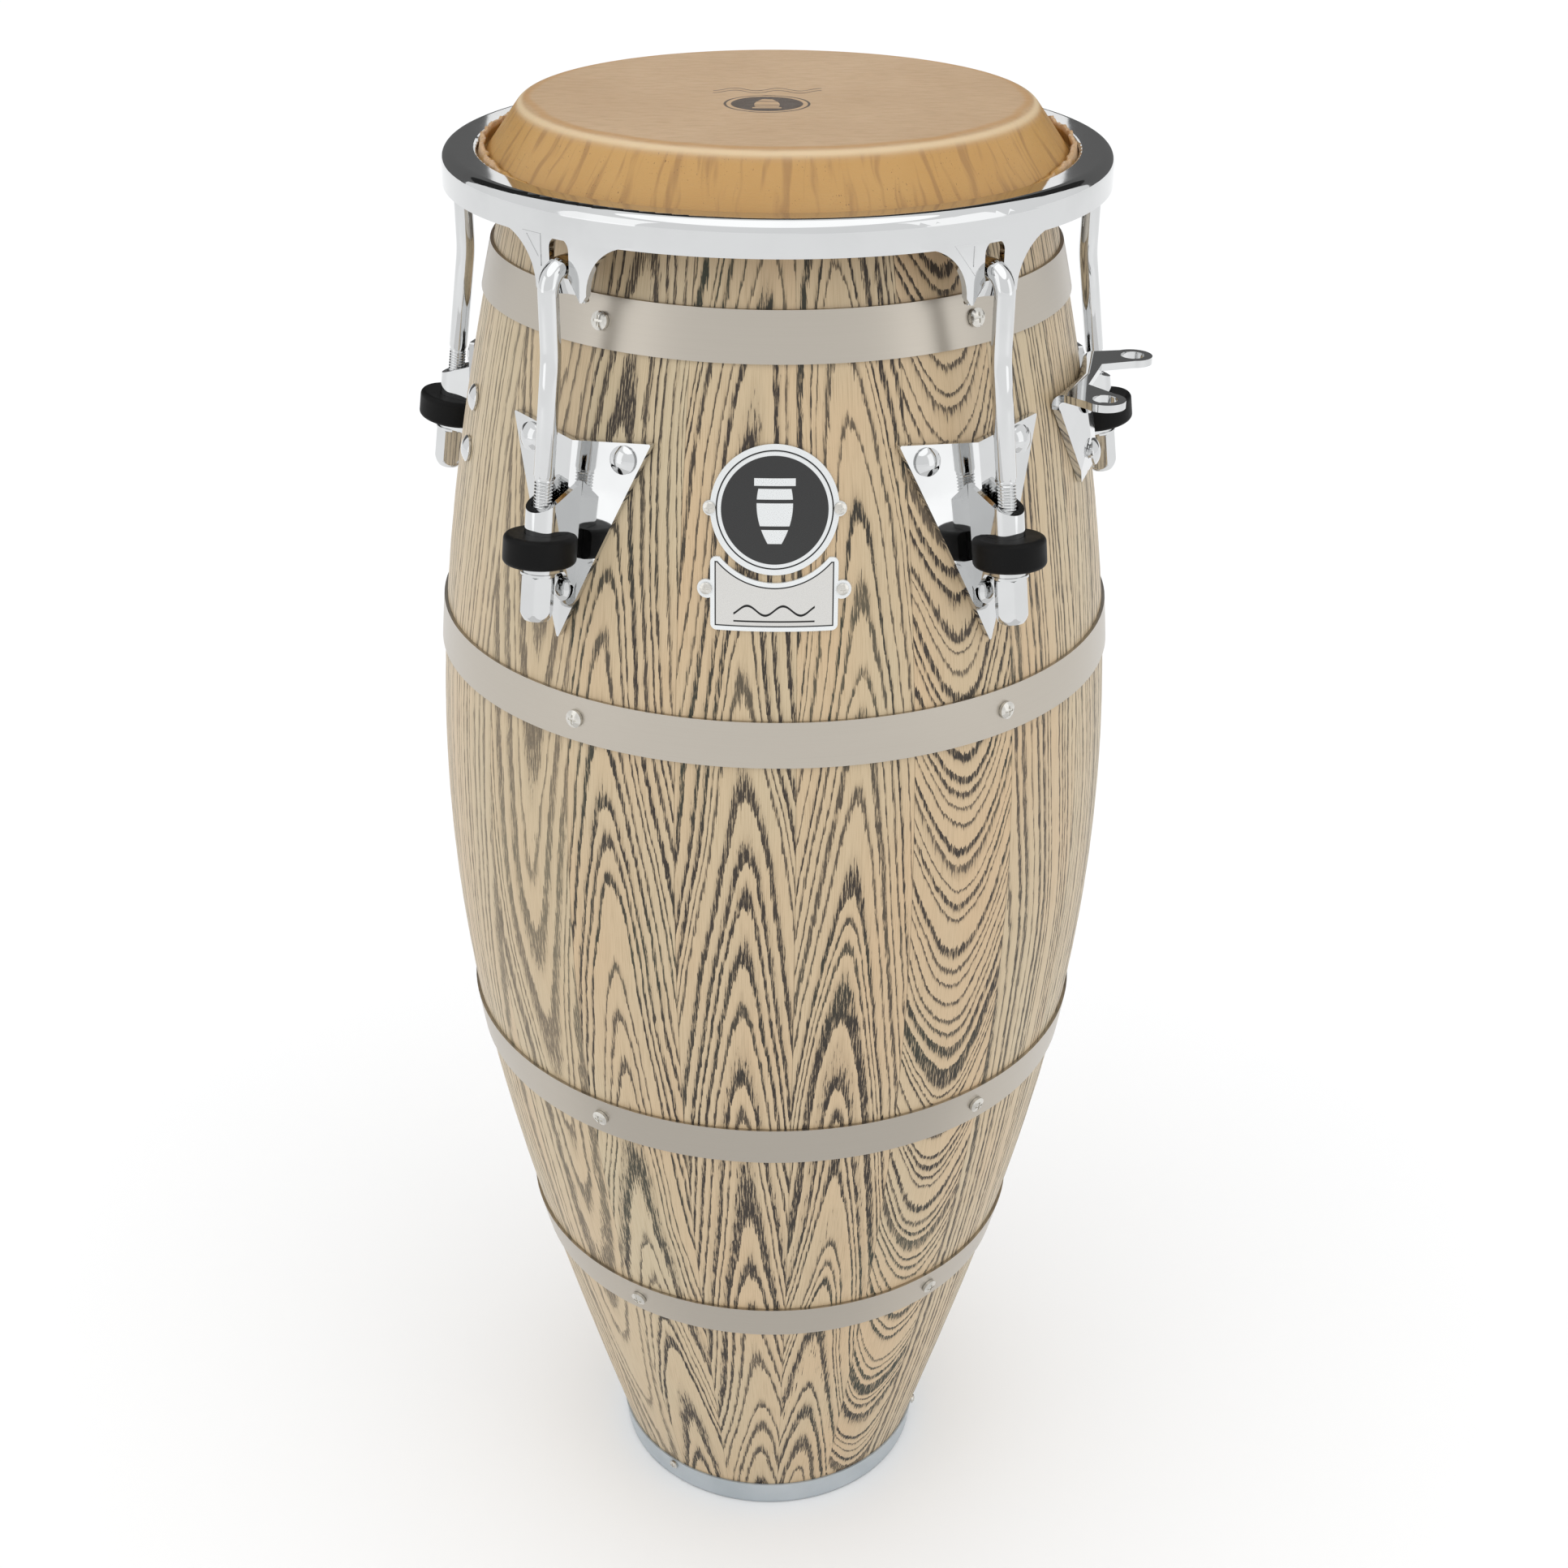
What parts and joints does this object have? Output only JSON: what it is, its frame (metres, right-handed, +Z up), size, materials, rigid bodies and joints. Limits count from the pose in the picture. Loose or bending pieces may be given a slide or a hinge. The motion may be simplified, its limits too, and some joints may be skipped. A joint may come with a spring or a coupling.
{
  "type": "conga drum",
  "caption": "Tall bowed stave hand drum with a skin head, a chrome tuning rim hung on hook rods and nuts, steel bands, a foot ring and a drilled stand bracket.",
  "frame": {"origin": "centre of the open foot, on the plane of the floor", "axes": "+Z up along the shell's axis, -Y towards the badge"},
  "size_m": [0.3528, 0.3485, 0.762],
  "materials": {
    "ash_wood": "satin lacquer over open-pore grain",
    "band_steel": "satin",
    "screw_steel": "bright",
    "foot_coat": "matt",
    "drum_skin": "satin",
    "hoop_steel": "plain",
    "chrome": "mirror",
    "rubber": "satin",
    "zinc": "zinc plated",
    "badge_silver": "satin",
    "badge_black": "semi gloss"
  },
  "bodies": {
    "shell": {"stave_01": "ash_wood", "stave_02": "ash_wood", "stave_03": "ash_wood", "stave_04": "ash_wood", "stave_05": "ash_wood", "stave_06": "ash_wood", "stave_07": "ash_wood", "stave_08": "ash_wood", "stave_09": "ash_wood", "stave_10": "ash_wood", "stave_11": "ash_wood", "stave_12": "ash_wood", "stave_13": "ash_wood", "stave_14": "ash_wood", "stave_15": "ash_wood", "stave_16": "ash_wood", "stave_17": "ash_wood", "stave_18": "ash_wood", "stave_19": "ash_wood", "band_1": "band_steel", "band_2": "band_steel", "band_3": "band_steel", "band_4": "band_steel", "band_screws": "screw_steel", "foot_ring": "foot_coat", "foot_ring_screws": "screw_steel", "head_skin": "drum_skin", "flesh_hoop": "hoop_steel", "lug_bracket_1": "chrome", "lug_bracket_2": "chrome", "lug_bracket_3": "chrome", "lug_bracket_4": "chrome", "lug_bracket_5": "chrome", "shell_protector_1": "rubber", "shell_protector_2": "rubber", "shell_protector_3": "rubber", "shell_protector_4": "rubber", "shell_protector_5": "rubber", "nut_washers": "chrome", "lug_bolts": "chrome", "stand_bolts": "chrome", "spare_bolts": "chrome", "bolt_washers": "zinc", "bolt_nuts": "zinc", "stand_bracket": "chrome", "badge_plate": "badge_silver", "badge_disc": "badge_black", "name_plate": "badge_silver", "badge_screws": "screw_steel"},
    "rim": {"rim": "chrome"},
    "hook_1": {"tuning_hook_1": "chrome"},
    "nut_1": {"tuning_nut_1": "chrome"},
    "hook_2": {"tuning_hook_2": "chrome"},
    "nut_2": {"tuning_nut_2": "chrome"},
    "hook_3": {"tuning_hook_3": "chrome"},
    "nut_3": {"tuning_nut_3": "chrome"},
    "hook_4": {"tuning_hook_4": "chrome"},
    "nut_4": {"tuning_nut_4": "chrome"},
    "hook_5": {"tuning_hook_5": "chrome"},
    "nut_5": {"tuning_nut_5": "chrome"}
  },
  "joints": [
    {"name": "rim_lift", "type": "slide", "parent": "shell", "child": "rim", "axis": [0, 0, 1], "range_m": [0, 0.006]},
    {"name": "hook_slide_1", "type": "slide", "parent": "shell", "child": "hook_1", "axis": [0, -0.1478, 0.989], "range_m": [0, 0.0062]},
    {"name": "nut_turn_1", "type": "hinge", "parent": "shell", "child": "nut_1", "pos_m": [0, 0.167, 0.605], "axis": [0, -0.1478, 0.989], "range_deg": [-1600, 0]},
    {"name": "hook_slide_2", "type": "slide", "parent": "shell", "child": "hook_2", "axis": [0.1406, -0.0457, 0.989], "range_m": [0, 0.0062]},
    {"name": "nut_turn_2", "type": "hinge", "parent": "shell", "child": "nut_2", "pos_m": [-0.15883, 0.05161, 0.605], "axis": [0.1406, -0.0457, 0.989], "range_deg": [-1600, 0]},
    {"name": "hook_slide_3", "type": "slide", "parent": "shell", "child": "hook_3", "axis": [0.0869, 0.1196, 0.989], "range_m": [0, 0.0062]},
    {"name": "nut_turn_3", "type": "hinge", "parent": "shell", "child": "nut_3", "pos_m": [-0.09816, -0.13511, 0.605], "axis": [0.0869, 0.1196, 0.989], "range_deg": [-1600, 0]},
    {"name": "hook_slide_4", "type": "slide", "parent": "shell", "child": "hook_4", "axis": [-0.0869, 0.1196, 0.989], "range_m": [0, 0.0062]},
    {"name": "nut_turn_4", "type": "hinge", "parent": "shell", "child": "nut_4", "pos_m": [0.09816, -0.13511, 0.605], "axis": [-0.0869, 0.1196, 0.989], "range_deg": [-1600, 0]},
    {"name": "hook_slide_5", "type": "slide", "parent": "shell", "child": "hook_5", "axis": [-0.1406, -0.0457, 0.989], "range_m": [0, 0.0062]},
    {"name": "nut_turn_5", "type": "hinge", "parent": "shell", "child": "nut_5", "pos_m": [0.15883, 0.05161, 0.605], "axis": [-0.1406, -0.0457, 0.989], "range_deg": [-1600, 0]}
  ],
  "couplings": [
    {"joint": "hook_slide_1", "follows": "rim_lift", "ratio": 1.0111},
    {"joint": "nut_turn_1", "follows": "rim_lift", "rad_per_m": -4502.1},
    {"joint": "hook_slide_2", "follows": "rim_lift", "ratio": 1.0111},
    {"joint": "nut_turn_2", "follows": "rim_lift", "rad_per_m": -4502.1},
    {"joint": "hook_slide_3", "follows": "rim_lift", "ratio": 1.0111},
    {"joint": "nut_turn_3", "follows": "rim_lift", "rad_per_m": -4502.1},
    {"joint": "hook_slide_4", "follows": "rim_lift", "ratio": 1.0111},
    {"joint": "nut_turn_4", "follows": "rim_lift", "rad_per_m": -4502.1},
    {"joint": "hook_slide_5", "follows": "rim_lift", "ratio": 1.0111},
    {"joint": "nut_turn_5", "follows": "rim_lift", "rad_per_m": -4502.1}
  ]
}
